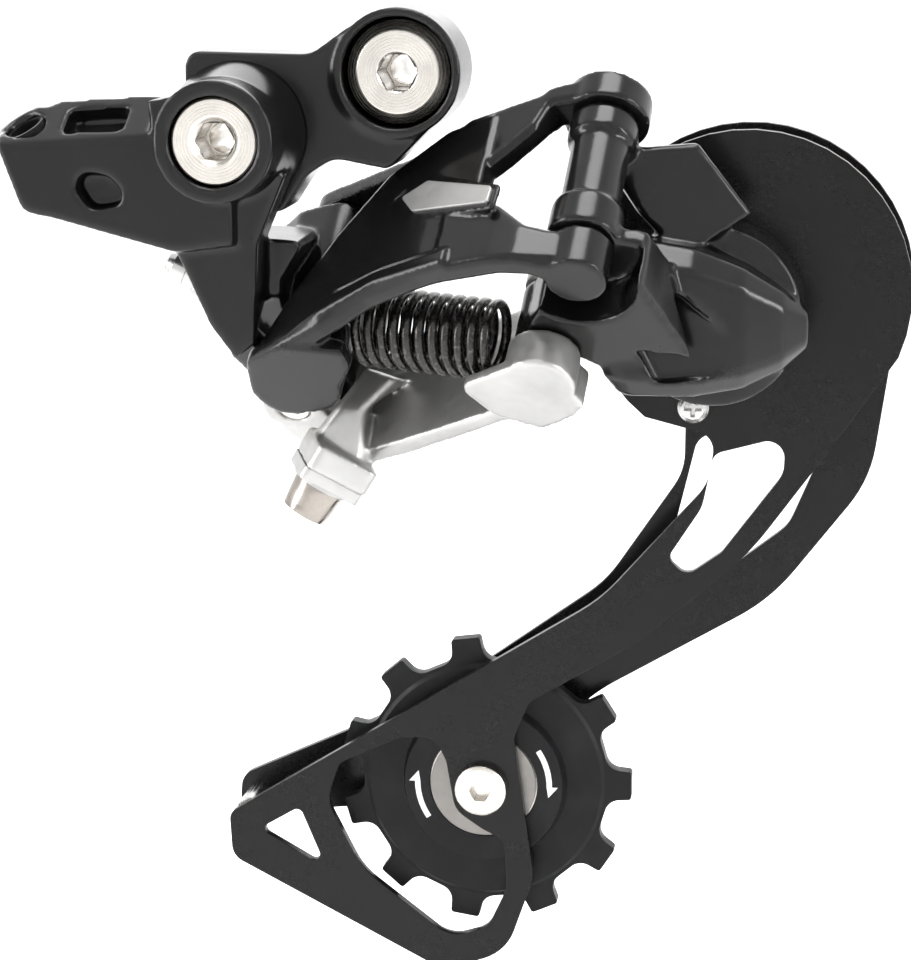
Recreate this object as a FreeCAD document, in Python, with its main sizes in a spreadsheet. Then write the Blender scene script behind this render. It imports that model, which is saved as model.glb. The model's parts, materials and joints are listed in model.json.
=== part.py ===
import FreeCAD, Part
import Sketcher
import math
import os

# A long-cage rear derailleur for a bicycle.  Millimetres; +X forward, +Y towards the wheel, +Z up.
# The origin lies on the hanger bolt's axis, in the face that meets the frame's hanger.

DRIVING = {
    # hanger bolt and link
    "thread_radius": 5.0, "thread_length": 9.5, "shank_radius": 6.0, "hanger_head_radius": 7.5,
    "key_size": 5.0, "bolt_bore_radius": 2.2, "recess_floor": 7.4, "washer_thickness": 0.5,
    "link_boss_radius": 9.2, "link_boss_depth": 12.5, "link_inner": 3.0, "link_outer": 12.0,
    # pivot between link and upper knuckle
    "pivot_x": -23.3, "pivot_z": -8.8, "pivot_head_radius": 6.25, "pivot_face": 26.0,
    "pivot_head_depth": 3.0, "sleeve_radius": 5.5, "pivot_shank_radius": 4.9, "pivot_thread_radius": 4.0,
    "boss_front": 27.0, "boss_front_radius": 8.6, "boss_back_radius": 10.4, "boss_back": 12.3,
    # parallelogram: link direction, pin direction, centre distances
    "link_yaw": -23.13, "link_pitch": -19.37, "pin_roll": -44.75, "lug_x": -13.0, "lug_y": -12.6,
    "lug_z": -42.3, "link_length": 47.0, "inner_shift_u": -12.0, "inner_shift_v": 10.5,
    "pin_radius": 2.5, "pin_play": 0.04, "lug_gap": 0.25, "knuckle_low": 7.0, "knuckle_high": 27.0,
    "outer_low": -4.5, "outer_top": 33.0, "inner_low": -6.8, "boss_radius": 5.2,
    # cage and pulleys
    "cage_x": 45.0, "cage_z": -34.5, "guide_x": 49.4, "guide_z": -32.9, "tension_x": 10.0,
    "tension_z": -111.5, "outer_plate_face": 4.5, "plate_thickness": 1.5, "inner_plate_face": 13.7,
    "cage_disc_radius": 24.1, "pulley_tip_radius": 23.1, "pulley_root_radius": 19.6, "pulley_teeth": 11,
    "tooth_width": 2.3, "rim_width": 3.4, "hub_width": 7.2, "pulley_bore": 8.5, "pulley_bolt_radius": 2.5,
    "axle_radius": 5.0, "housing_radius": 13.0,
    # small parts
    "screw_radius": 2.0, "screw_head_radius": 2.35, "clamp_bolt_radius": 2.0, "spring_radius": 6.0,
    "spring_wire": 1.45, "spring_turns": 11, "stop_bore": 2.9, "cable_hole": 1.2,
    "stop_x": 41.9, "stop_z": -49.9, "rivet_x": -27.5, "rivet_z": -117.6,
}

doc = FreeCAD.newDocument("rear_derailleur")
sheet = doc.addObject("Spreadsheet::Sheet", "dims")
for row, (alias, amount) in enumerate(DRIVING.items(), start=1):
    sheet.set(f"A{row}", alias)
    sheet.set(f"B{row}", str(amount))
    sheet.setAlias(f"B{row}", alias)
doc.recompute()

Vector = FreeCAD.Vector
Rotation = FreeCAD.Rotation
Placement = FreeCAD.Placement
pieces = []


def size(text):
    """The present value of a size or expression in the sheet's words."""
    return float(sheet.evalExpression(text))


def side_frame(x, z, y=0.0):
    """Local x forward, local y up, local z outboard."""
    return Placement(Vector(x, y, z), Rotation(Vector(1, 0, 0), 90))


def link_frame(along=0.0, across=0.0, up=0.0):
    """Local x along the links, local y the way they swing, local z along their pins."""
    turn = Rotation(size("dims.link_yaw"), size("dims.link_pitch"), size("dims.pin_roll"))
    corner = Vector(size("dims.lug_x"), size("dims.lug_y"), size("dims.lug_z"))
    return Placement(corner + turn.multVec(Vector(along, across, up)), turn)


def pointing(base, direction, roll=0.0):
    """A frame at base whose local z points in the given direction."""
    turn = Rotation(Vector(0, 0, 1), Vector(*direction))
    return Placement(Vector(*base), turn.multiply(Rotation(Vector(0, 0, 1), roll)))


def finish(item, label):
    """Name a finished sub-part and put it on the list of files to write."""
    item.Label = label
    pieces.append(item)
    return item


def rounded_outline(sketch, corners):
    """Closed outline through (x, y, corner radius) points, with tangent arcs at the corners."""
    count = len(corners)
    points = [Vector(corner[0], corner[1], 0) for corner in corners]
    starts, ends, arcs = [], [], []
    for i, corner in enumerate(corners):
        radius = corner[2] if len(corner) > 2 else 0.0
        back = (points[i - 1] - points[i]).normalize()
        ahead = (points[(i + 1) % count] - points[i]).normalize()
        half = back.getAngle(ahead) / 2
        reach = radius / math.tan(half)
        starts.append(points[i] + back * reach)
        ends.append(points[i] + ahead * reach)
        if radius > 0:
            middle = (back + ahead).normalize()
            bulge = points[i] + middle * (radius / math.sin(half) - radius)
            arcs.append(Part.Arc(starts[i], bulge, ends[i]))
        else:
            arcs.append(None)
    for i in range(count):
        if arcs[i] is not None:
            sketch.addGeometry(arcs[i], False)
        nxt = (i + 1) % count
        if (starts[nxt] - ends[i]).Length > 1e-4:
            sketch.addGeometry(Part.LineSegment(ends[i], starts[nxt]), False)


def bound_polygon(sketch, corners):
    """Closed polygon whose corner coordinates are all bound to the sheet."""
    count = len(corners)
    values = [Vector(size(x), size(y), 0) for x, y in corners]
    for i in range(count):
        sketch.addGeometry(Part.LineSegment(values[i], values[(i + 1) % count]), False)
    for i in range(count):
        sketch.addConstraint(Sketcher.Constraint("Coincident", i, 2, (i + 1) % count, 1))
    for i, (x, y) in enumerate(corners):
        for kind, text, amount in (("DistanceX", x, values[i].x), ("DistanceY", y, values[i].y)):
            number = sketch.addConstraint(Sketcher.Constraint(kind, i, 1, amount))
            sketch.setExpression(f"Constraints[{number}]", text)


def origin_plane(body, role):
    return [plane for plane in body.Origin.OriginFeatures if plane.Role == role][0]


def body_sketch(body, role, height="0"):
    """A sketch on one of the body's own origin planes, lifted by a bound height."""
    sketch = body.newObject("Sketcher::SketchObject", "outline")
    sketch.AttachmentSupport = [(origin_plane(body, role), "")]
    sketch.MapMode = "FlatFace"
    sketch.setExpression("AttachmentOffset.Base.z", height)
    return sketch


def turned(label, place, profile):
    """A turned piece: a profile of (radius, height) expressions revolved about local z."""
    body = doc.addObject("PartDesign::Body", label)
    sketch = body_sketch(body, "XZ_Plane")
    bound_polygon(sketch, profile)
    turning = body.newObject("PartDesign::Revolution", "turning")
    turning.Profile = sketch
    turning.ReferenceAxis = (sketch, ["V_Axis"])
    turning.Angle = 360
    body.Placement = place
    return finish(body, label)


def hex_corners(across):
    """Corner expressions of a hexagon with the given size across its flats."""
    reach = [(math.cos(math.radians(60 * k)), math.sin(math.radians(60 * k))) for k in range(6)]
    scale = 1 / math.sqrt(3)
    return [(f"{across} * {c * scale:.6f}", f"{across} * {s * scale:.6f}") for c, s in reach]


def pocket(body, corners, top, depth):
    """Cut a bound polygon down from a height along local z."""
    sketch = body_sketch(body, "XY_Plane", top)
    bound_polygon(sketch, corners)
    feature = body.newObject("PartDesign::Pocket", "pocket")
    feature.Profile = sketch
    feature.setExpression("Length", depth)


def hole(body, x, y, radius, top, depth):
    """Cut a round hole down from a height along local z."""
    sketch = body_sketch(body, "XY_Plane", top)
    sketch.addGeometry(Part.Circle(Vector(size(x), size(y), 0), Vector(0, 0, 1), size(radius)), False)
    number = sketch.addConstraint(Sketcher.Constraint("Radius", 0, size(radius)))
    sketch.setExpression(f"Constraints[{number}]", radius)
    feature = body.newObject("PartDesign::Pocket", "hole")
    feature.Profile = sketch
    feature.setExpression("Length", depth)


def plate(label, place, corners, height, base="0"):
    """A flat piece with a rounded outline, padded along local z."""
    body = doc.addObject("PartDesign::Body", label)
    sketch = body_sketch(body, "XY_Plane", base)
    rounded_outline(sketch, corners)
    pad = body.newObject("PartDesign::Pad", "pad")
    pad.Profile = sketch
    pad.setExpression("Length", height)
    body.Placement = place
    return finish(body, label)


def opening(body, corners, top, depth):
    """Cut a rounded outline down from a height along local z."""
    sketch = body_sketch(body, "XY_Plane", top)
    rounded_outline(sketch, corners)
    feature = body.newObject("PartDesign::Pocket", "opening")
    feature.Profile = sketch
    feature.setExpression("Length", depth)


def rod(place, radius, length):
    item = doc.addObject("Part::Cylinder", "rod")
    item.setExpression("Radius", radius)
    item.setExpression("Height", length)
    item.Placement = place
    return item


def cone(place, base_radius, top_radius, length):
    item = doc.addObject("Part::Cone", "cone")
    item.setExpression("Radius1", base_radius)
    item.setExpression("Radius2", top_radius)
    item.setExpression("Height", length)
    item.Placement = place
    return item


def prism(place, corners, length):
    """A rounded outline in the frame's local x, y, drawn out along its local z."""
    sketch = doc.addObject("Sketcher::SketchObject", "section")
    rounded_outline(sketch, corners)
    sketch.Placement = place
    item = doc.addObject("Part::Extrusion", "prism")
    item.Base = sketch
    item.DirMode = "Normal"
    item.Solid = True
    item.setExpression("LengthFwd", length)
    return item


def joined(items):
    result = doc.addObject("Part::MultiFuse", "joined")
    result.Shapes = items
    result.Refine = False
    return result


def cut_from(base, tools):
    result = doc.addObject("Part::Cut", "trimmed")
    result.Base = base
    result.Tool = tools[0] if len(tools) == 1 else joined(tools)
    result.Refine = False
    return result


def limb(stations):
    """A forged arm lofted through eight-sided sections: (place, half width, half height)."""
    wires = []
    for place, wide, high in stations:
        chamfer = 0.35 * min(wide, high)
        ring = [(wide, high - chamfer), (wide - chamfer, high), (chamfer - wide, high),
                (-wide, high - chamfer), (-wide, chamfer - high), (chamfer - wide, -high),
                (wide - chamfer, -high), (wide, chamfer - high)]
        points = [place.multVec(Vector(x, y, 0)) for x, y in ring]
        wires.append(Part.makePolygon(points + points[:1]))
    item = doc.addObject("Part::Feature", "limb")
    item.Shape = Part.makeLoft(wires, True, True)
    return item


# ---- hanger link and its bolts ------------------------------------------------------------------

def build_hanger_link():
    """Forged plate with a boss for the hanger bolt and a tail for the adjusting screw."""
    outline = [(-30.8, 2.8, 2.0), (-12.5, 2.5, 4.0), (-7.0, 6.4, 0), (6.6, 6.4, 0), (9.0, -3.6, 3.0),
               (-1.2, -13.8, 2.0), (-9.4, -12.3, 4.0), (-13.2, -14.8, 3.0), (-16.4, -19.8, 1.0),
               (-19.8, -20.8, 1.0), (-21.4, -16.6, 0.5), (-31.0, -12.0, 5.0)]
    web = prism(side_frame(0, 0, -size("dims.link_inner")), outline, "dims.link_outer - dims.link_inner")
    boss = rod(side_frame(0, 0), "dims.link_boss_radius", "dims.link_boss_depth")
    heel = rod(side_frame(size("dims.pivot_x"), size("dims.pivot_z"), -size("dims.link_inner")),
               "8.5", "dims.link_outer - dims.link_inner")
    bore = rod(side_frame(0, 0, 1), "dims.shank_radius + 0.6", "20")
    recess = rod(side_frame(0, 0, -size("dims.recess_floor")), "dims.hanger_head_radius + 0.45", "10")
    thread = rod(side_frame(size("dims.pivot_x"), size("dims.pivot_z")), "dims.pivot_thread_radius", "20")
    result = cut_from(joined([web, boss, heel]), [bore, recess, thread])
    return finish(result, "hanger_link")


def build_hanger_bolt():
    """Hollow M10 fixing bolt with a chamfered head and a hexagon socket."""
    face = "dims.recess_floor + dims.washer_thickness + 3.6"
    seat = "dims.recess_floor + dims.washer_thickness"
    profile = [("dims.bolt_bore_radius", "-dims.thread_length"),
               ("dims.thread_radius - 0.7", "-dims.thread_length"),
               ("dims.thread_radius", "0.7 - dims.thread_length"), ("dims.thread_radius", "0"),
               ("dims.shank_radius", "0"), ("dims.shank_radius", seat),
               ("dims.hanger_head_radius", seat), ("dims.hanger_head_radius", f"{face} - 1.5"),
               ("dims.hanger_head_radius - 1.7", face), ("3.0", face),
               ("dims.bolt_bore_radius", f"{face} - 0.8")]
    bolt = turned("hanger_bolt", side_frame(0, 0), profile)
    pocket(bolt, hex_corners("dims.key_size"), face, "7")
    return bolt


def build_hanger_fittings():
    """Bush pressed in the link's bore and the thrust washer under the bolt's head."""
    turned("hanger_bush", side_frame(0, 0),
           [("dims.shank_radius + 0.05", "0.2"), ("dims.shank_radius + 0.6", "0.2"),
            ("dims.shank_radius + 0.6", "dims.recess_floor"),
            ("dims.shank_radius + 0.05", "dims.recess_floor")])
    turned("hanger_washer", side_frame(0, 0),
           [("dims.shank_radius", "dims.recess_floor"),
            ("dims.hanger_head_radius - 0.1", "dims.recess_floor"),
            ("dims.hanger_head_radius - 0.1", "dims.recess_floor + dims.washer_thickness"),
            ("dims.shank_radius", "dims.recess_floor + dims.washer_thickness")])


def pivot_frame():
    return side_frame(size("dims.pivot_x"), size("dims.pivot_z"))


def build_pivot_bolt():
    """Hollow shouldered bolt that the upper knuckle swings on, screwed into the link."""
    seat = "dims.pivot_face - dims.pivot_head_depth"
    profile = [("dims.bolt_bore_radius", "dims.link_inner"),
               ("dims.pivot_thread_radius", "dims.link_inner"),
               ("dims.pivot_thread_radius", "dims.link_outer"),
               ("dims.pivot_shank_radius", "dims.link_outer"),
               ("dims.pivot_shank_radius", seat), ("dims.pivot_head_radius", seat),
               ("dims.pivot_head_radius", "dims.pivot_face - 0.4"),
               ("dims.pivot_head_radius - 0.4", "dims.pivot_face"), ("3.6", "dims.pivot_face"),
               ("dims.bolt_bore_radius", "dims.pivot_face - 1.3")]
    bolt = turned("pivot_bolt", pivot_frame(), profile)
    pocket(bolt, hex_corners("dims.key_size"), "dims.pivot_face", "6.5")
    turned("pivot_bush", pivot_frame(),
           [("dims.pivot_shank_radius", "dims.link_outer"), ("dims.sleeve_radius", "dims.link_outer"),
            ("dims.sleeve_radius", f"{seat} - 0.02"), ("dims.pivot_shank_radius", f"{seat} - 0.02")])


# ---- upper knuckle ------------------------------------------------------------------------------

def pin_hole(along, across, low, high, clearance="0"):
    """Bore for a pivot pin in the link frame."""
    return rod(link_frame(along, across, size(low)), f"dims.pin_radius + {clearance}", f"{high} - ({low})")


def build_upper_knuckle():
    """Boss on the pivot bolt, rearward arm with the cable stop, and the lug block for the links."""
    boss = cone(side_frame(size("dims.pivot_x"), size("dims.pivot_z"), -size("dims.boss_back")),
                "dims.boss_back_radius", "dims.boss_front_radius", "8")
    nose = rod(side_frame(size("dims.pivot_x"), size("dims.pivot_z"), -size("dims.boss_back")),
               "dims.boss_front_radius", "dims.boss_front - dims.boss_back")
    arm = prism(side_frame(0, 0, -size("dims.boss_back")),
                [(-22.0, -1.0, 0), (-33.0, -3.6, 0), (-47.5, -3.6, 3), (-57.2, -8.6, 3), (-53.0, -19.8, 2.5),
                 (-48.5, -20.6, 4), (-30.5, -25.2, 1), (-22.0, -24.0, 0)], "8.6")
    stop = rod(stop_frame(), "4.6", "8.6")
    web = prism(side_frame(0, 0, -size("dims.boss_back")),
                [(-34.2, -14.0, 0), (-31.3, -24.7, 0), (-26.2, -35.9, 1), (-20.6, -43.2, 1),
                 (-19.6, -38.0, 0), (-19.0, -24.0, 0), (-14.8, -14.0, 0)], "6.5")
    back = prism(side_frame(0, 0, 3),
                 [(-31.6, -24.6, 0), (-26.2, -35.9, 1), (-20.6, -43.2, 1), (-16.6, -40.5, 0),
                  (-17.0, -30.0, 0), (-13.5, -24.3, 1), (-21.0, -23.9, 1)], "dims.boss_back + 3")
    tab = prism(side_frame(0, 0, -4.4),
                [(-27.2, -17.6, 1), (-23.2, -17.6, 1), (-22.6, -25.0, 0), (-27.2, -25.0, 0)], "6.4")
    block = prism(link_frame(0, 0, size("dims.knuckle_low")),
                  [(5.2, -4.6, 4.5), (5.2, 5.6, 4.5), (-6.6, 16.0, 4.5), (-17.2, 16.0, 4.5),
                   (-17.4, -0.8, 2.0), (-4.2, -5.6, 2.0)], "dims.knuckle_high - dims.knuckle_low")
    slope = (-0.06, -0.53, 0.85)
    flat = prism(pointing((-42.0, -12.3, -3.8), slope),
                 [(-24, -16, 0), (8.0, -16, 0), (8.0, 16, 0), (-24, 16, 0)], "12")
    top_pocket = prism(pointing((-42.6, -15.4, -9.0), slope),
                       [(-4.4, -2.9, 1), (4.4, -2.9, 1), (4.4, 2.9, 1), (-4.4, 2.9, 1)], "12")
    side_pocket = prism(side_frame(-41.6, -16.4, -17.6),
                        [(-5.0, 2.8, 1.8), (1.4, 2.0, 2.4), (5.0, -1.8, 1.7), (-1.4, -3.0, 2.0)], "6")
    bore = rod(stop_frame(), "dims.stop_bore", "12")
    below = stop_frame().multiply(Placement(Vector(0, 0, -12), Rotation()))
    cable_way = rod(below, "dims.cable_hole", "13")
    counterbore = rod(side_frame(size("dims.pivot_x"), size("dims.pivot_z"), 0.08 - 23.0),
                      "dims.pivot_head_radius + 0.15", "6")
    sleeve = rod(side_frame(size("dims.pivot_x"), size("dims.pivot_z")), "dims.sleeve_radius + 0.04", "30")
    outer_bore = pin_hole(0, 0, "dims.outer_low", "dims.outer_top")
    inner_bore = pin_hole(size("dims.inner_shift_u"), size("dims.inner_shift_v"), "dims.inner_low", "35")
    screw_bores = [rod(limit_frame(step), "dims.screw_radius", "11") for step in (0, 1)]
    screw_bores.append(rod(tension_frame(), "dims.screw_radius", "9"))
    coil_room = [swept_coil(turn) for turn in range(20, 70, 8)]
    tip_room = prism(link_frame(0, 0, -12),
                     [(9, -9, 0), (9, 9, 0), (-4.5, 9, 0), (-9.2, 4, 0), (-9.2, -9, 0)], "18.75")
    solid = joined([boss, nose, arm, stop, web, back, block, tab])
    tools = [flat, top_pocket, side_pocket, bore, cable_way, counterbore,
             sleeve, outer_bore, inner_bore, tip_room]
    return finish(cut_from(solid, tools + screw_bores + coil_room), "upper_knuckle")


def limit_frame(step):
    """Frame of a stroke-limit screw: local z points out of the knuckle's rear edge."""
    return pointing((-22.6 + 1.9 * step, -9.4 + 7.2 * step, -33.6 - 4.2 * step), (-0.90, -0.06, 0.43))


def build_stroke_screws():
    """The two screws that limit how far the links swing."""
    for step, label in enumerate(("high_limit_screw", "low_limit_screw")):
        pan_screw(label, limit_frame(step), "10.0", "13.4")


def pan_screw(label, place, seat, top):
    """Round-headed screw with a cross recess: seat and top are heights of the head's two ends."""
    head = "dims.screw_head_radius"
    screw = turned(label, place,
                   [("0", "0.4"), ("dims.screw_radius - 0.04", "0.4"), ("dims.screw_radius - 0.04", seat),
                    (head, seat), (head, f"{seat} + ({top} - {seat}) * 0.62"),
                    (f"{head} * 0.72", f"{seat} + ({top} - {seat}) * 0.9"), (f"{head} * 0.3", top),
                    ("0", top)])
    arm, half = "dims.screw_head_radius * 0.55", "0.32"
    cross = [(arm, half), (half, half), (half, arm), (f"-{half}", arm), (f"-{half}", half),
             (f"-{arm}", half), (f"-{arm}", f"-{half}"), (f"-{half}", f"-{half}"), (f"-{half}", f"-{arm}"),
             (half, f"-{arm}"), (half, f"-{half}"), (arm, f"-{half}")]
    pocket(screw, cross, top, "1.1")
    return screw


def stop_frame():
    """Frame of the cable stop: local z points out of the arm, the way the housing leaves."""
    return pointing((-50.2, -14.4, -14.6), (-0.42, -0.30, 0.86))


def build_cable_stop():
    """Plain sleeve that lines the cable housing's seat in the rearward arm."""
    turned("cable_stop_liner", stop_frame(),
           [("dims.stop_bore - 0.45", "0.6"), ("dims.stop_bore", "0.6"), ("dims.stop_bore", "7.6"),
            ("dims.stop_bore - 0.45", "7.6")])


def tension_frame():
    """Frame of the tension screw: local z points rearward from the link's tail to the screw's head."""
    return pointing((-20.8, -7.6, -19.9), (-1.0, 0.0, 0.0))


def build_tension_screw():
    """Screw in the knuckle whose tip rests on the link's tail."""
    pan_screw("tension_screw", tension_frame(), "7.2", "9.6")


# ---- links, pins and spring ---------------------------------------------------------------------

def build_pins():
    """Four pivot pins, pressed in the knuckles, with running play in the links."""
    length, shift_u, shift_v = (size(f"dims.{word}") for word in
                                ("link_length", "inner_shift_u", "inner_shift_v"))
    spans = [("outer_pin_upper", 0, 0, "-1", "31.5"), ("inner_pin_upper", shift_u, shift_v, "2.6", "31"),
             ("outer_pin_lower", length, 0, "2", "32.5"),
             ("inner_pin_lower", length + shift_u, shift_v, "-5", "14.5")]
    for label, along, across, low, high in spans:
        turned(label, link_frame(along, across),
               [("0", low), ("dims.pin_radius - 0.3", low), ("dims.pin_radius", f"{low} + 0.3"),
                ("dims.pin_radius", f"{high} - 0.3"), ("dims.pin_radius - 0.3", high), ("0", high)])


def build_outer_link():
    """Outer link: a bowed face with a hooked lower end, a lower arm and a raised upper arm."""
    reach = size("dims.link_length")
    slab = prism(link_frame(0, 0, size("dims.outer_low")),
                 [(-8.2, -2.0, 5.0), (-7.6, 5.6, 4.5), (2.4, 4.0, 3.0), (9.6, -1.0, 1.5), (10.8, -4.6, 1.0),
                  (2.5, -9.6, 2.0), (-4.0, -8.6, 3.0)], "2.6")
    heel = rod(link_frame(0, 0, size("dims.outer_low")), "5.6",
               "dims.knuckle_low - dims.lug_gap - dims.outer_low")
    stem = limb([section(-5.0, -4.8, -4.4, -0.6, 1.9), section(2.5, -7.6, -4.4, 5.4, 1.9),
                 section(10.0, -8.5, -3.4, 14.6, 1.6), section(17.3, -8.8, -0.8, 22.4, 1.6),
                 section(27.0, -8.8, 0.0, 27.2, 1.6), section(34.5, -8.0, 0.0, 28.4, 1.6)])
    lower = limb([section(30.0, -8.6, 0.0, 15.0, 1.8), section(38.0, -7.2, 0.0, 10.4, 1.9),
                  section(42.0, -5.4, 0.0, 6.75, 2.2), section(44.4, -2.6, 0.0, 6.75, 3.2),
                  section(reach, 0.0, 0.0, 6.75, 4.3)])
    lower_eye = rod(link_frame(reach, 0, 0), "4.4", "dims.knuckle_low - dims.lug_gap")
    upper = limb([section(30.0, -8.4, 14.5, 28.4, 1.7), section(36.0, -7.0, 20.0, 30.0, 1.8),
                  section(40.4, -5.8, 25.0, 31.4, 1.8),
                 section(42.0, -4.6, 29.2, 32.4, 2.8), section(reach, -0.4, 29.3, 33.6, 5.4)])
    upper_eye = rod(link_frame(reach, 0, 29.25), "6.2", "4.6")
    bridge = prism(link_frame(0, 0, 27.25),
                   [(-4.4, 4.4, 4.2), (4.4, 4.4, 4.2), (20.0, -2.6, 6.0), (33.5, -6.6, 0), (28.0, -8.0, 0),
                    (18.0, -5.4, 6.0), (-4.4, -4.4, 4.2)], "3.0")
    rib = limb([section(2.0, -6.8, -4.0, 2.0, 2.4), section(10.0, -8.6, -2.6, 1.6, 2.2),
                section(20.0, -9.2, 0.0, 3.0, 2.0), section(32.0, -9.0, 0.0, 3.4, 2.0)])
    pad = prism(face_frame(-9.9), [(19.4, 16.4, 0.8), (25.8, 18.4, 0.8), (39.4, 12.2, 0.8), (39.0, 7.8, 0.8),
                                   (23.6, 11.4, 0.8)], "0.7")
    room = rod(link_frame(0, 0, size("dims.knuckle_low") - size("dims.lug_gap")), "5.95", "20.5")
    bores = [pin_hole(0, 0, "-1.2", "31.8", "dims.pin_play"),
             pin_hole(reach, 0, "1.8", "32.8", "dims.pin_play")]
    solid = joined([slab, heel, stem, lower, lower_eye, upper, upper_eye, bridge, rib, pad])
    finish(cut_from(solid, [room] + bores), "outer_link")


def build_emblem():
    """Plain five-sided badge that follows the outline of the outer link's raised pad."""
    badge = prism(face_frame(-10.6), [(21.6, 15.6, 0.5), (26.0, 17.2, 0.8), (38.3, 11.7, 0.8),
                                      (38.0, 8.9, 0.5), (24.2, 12.2, 0.8)], "0.5")
    finish(badge, "emblem")


def face_frame(across):
    """Local x along the links, local y with their pins, local z out of the outer link's face."""
    base = link_frame(0, across, 0)
    return Placement(base.Base, base.Rotation.multiply(Rotation(Vector(1, 0, 0), 90)))


def section(along, across, low, high, half):
    """A limb's section: across the links at a given distance, from a low to a high pin height."""
    return (pointing_across(along, across, (low + high) / 2), (high - low) / 2, half)


def pointing_across(along, across, up):
    """Frame of a limb's section: local x runs with the pins, local y across the links."""
    base = link_frame(along, across, up)
    return Placement(base.Base, base.Rotation.multiply(Rotation(Vector(0, 1, 0), 90)))


def build_inner_link():
    """Inner link: a cast plate with two pairs of eyes and a curved arm for the cable clamp."""
    reach, shift_u, shift_v = (size(f"dims.{word}") for word in
                               ("link_length", "inner_shift_u", "inner_shift_v"))
    far = reach + shift_u
    eye_low = rod(link_frame(far, shift_v, size("dims.inner_low")), "dims.boss_radius", "6.2")
    eye_top = rod(link_frame(far, shift_v, 9.8), "4.6", "5")
    toe = prism(link_frame(0, 0, size("dims.inner_low")),
                [(24.0, 6.4, 1.5), (34.0, 5.6, 0), (38.0, 18.0, 2.0), (30.0, 19.4, 2.0),
                 (25.0, 14.0, 2.0)], "2.0")
    near_low = rod(link_frame(shift_u, shift_v, 2.4), "4.8", "4.35")
    near_top = rod(link_frame(shift_u, shift_v, 27.25), "4.8", "3.9")
    plate_low = prism(link_frame(0, 0, -4.0),
                      [(far - 1, 15.4, 0), (far - 1, 17.8, 0), (6.0, 19.6, 0), (-10.0, 19.4, 1.0),
                       (-10.0, 16.8, 1.0), (6.0, 16.6, 0)], "14")
    plate_top = prism(link_frame(0, 0, 9.8),
                      [(far - 1, 15.4, 0), (far - 1, 17.8, 0), (4.0, 19.6, 0), (-13.0, 19.4, 1.0),
                       (-13.0, 16.9, 1.0), (4.0, 16.9, 0)], "5.0")
    riser = prism(link_frame(0, 0, 14.0),
                  [(-6.0, 16.9, 0), (6.0, 16.9, 0), (6.0, 19.5, 0), (-6.0, 19.5, 0)], "1")
    rear_wall = prism(link_frame(0, 0, 9.8), [(-16.0, 16.9, 1.0), (-3.0, 16.9, 1.0), (-3.0, 19.4, 1.0),
                                             (-16.0, 19.4, 1.0)], "21.3")
    arm = limb([(pointing((-3.6, -0.6, -45.6), (-0.3, -0.2, -1)), 2.4, 3.0),
                (pointing((-8.2, -3.2, -50.0), (-0.1, 0.0, -1)), 2.4, 3.0),
                (pointing((-10.4, -4.4, -56.5), (-0.3, 0.0, -1)), 4.6, 3.4)])
    anchor = prism(clamp_frame(-5.2),
                   [(-5.2, -6.0, 1.2), (5.0, -6.0, 1.2), (5.0, 4.6, 1.2), (-5.2, 4.6, 1.2)], "4.0")
    near_link = prism(link_frame(0, 0, 2.4), [(shift_u - 4.6, shift_v, 0), (shift_u + 4.6, shift_v, 0),
                                              (shift_u + 4.6, 19.4, 0), (shift_u - 4.6, 19.4, 0)], "4.35")
    near_link_top = prism(link_frame(0, 0, 27.25),
                          [(shift_u - 4.6, shift_v, 0), (shift_u + 4.6, shift_v, 0),
                           (shift_u + 4.6, 19.4, 0), (shift_u - 4.6, 19.4, 0)], "3.9")
    far_link = prism(link_frame(0, 0, 9.8), [(far - 4.4, shift_v, 0), (far + 4.4, shift_v, 0),
                                             (far + 3.4, 17.6, 0), (far - 4.4, 17.6, 0)], "5")
    low_link = prism(link_frame(0, 0, size("dims.inner_low")),
                     [(far - 4.4, shift_v, 0), (far + 3.4, shift_v, 0),
                      (far + 3.4, 17.6, 1), (far - 4.4, 17.6, 1)], "6.2")
    bores = [pin_hole(shift_u, shift_v, "2.2", "31.5", "dims.pin_play"),
             pin_hole(far, shift_v, "-5.2", "14.9", "dims.pin_play"),
             rod(clamp_frame(-8), "dims.clamp_bolt_radius + 0.1", "9"),
             prism(clamp_frame(-1.2), [(-9, -9, 0), (9, -9, 0), (9, 9, 0), (-9, 9, 0)], "8")]
    solid = joined([eye_low, eye_top, toe, near_low, near_top, plate_low, plate_top, arm, anchor,
                    near_link, near_link_top, far_link, low_link, riser, rear_wall])
    return finish(cut_from(solid, bores), "inner_link")


def clamp_frame(height):
    """Frame of the cable clamp: local z points out along the clamp bolt towards its head."""
    axis = Vector(-0.50, -0.10, -0.85).normalize()
    base = Vector(-12.3, -5.4, -60.6) + axis * height
    return pointing(tuple(base), tuple(axis))


def build_cable_clamp():
    """Clamp plate, serrated washer and the bolt that pinches the cable."""
    clamp = plate("cable_clamp_plate", clamp_frame(0), [(-5.0, -5.2, 1.0), (5.0, -5.2, 1.0), (5.0, 4.4, 1.0),
                                                       (-5.0, 4.4, 1.0)], "1.9", "-1.18")
    hole(clamp, "0", "0", "dims.clamp_bolt_radius + 0.1", "2", "6")
    turned("clamp_washer", clamp_frame(0),
           [("2.05", "0.75"), ("4.5", "0.75"), ("4.5", "1.3"), ("2.05", "1.3")])
    bolt = turned("cable_clamp_bolt", clamp_frame(0),
                  [("0", "-7.5"), ("dims.clamp_bolt_radius", "-7.5"), ("dims.clamp_bolt_radius", "1.32"),
                   ("4.0", "1.32"), ("4.0", "1.9"),
                   ("3.5", "6.2"), ("0", "6.2")])
    pocket(bolt, hex_corners("4.0"), "6.2", "3.4")


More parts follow.
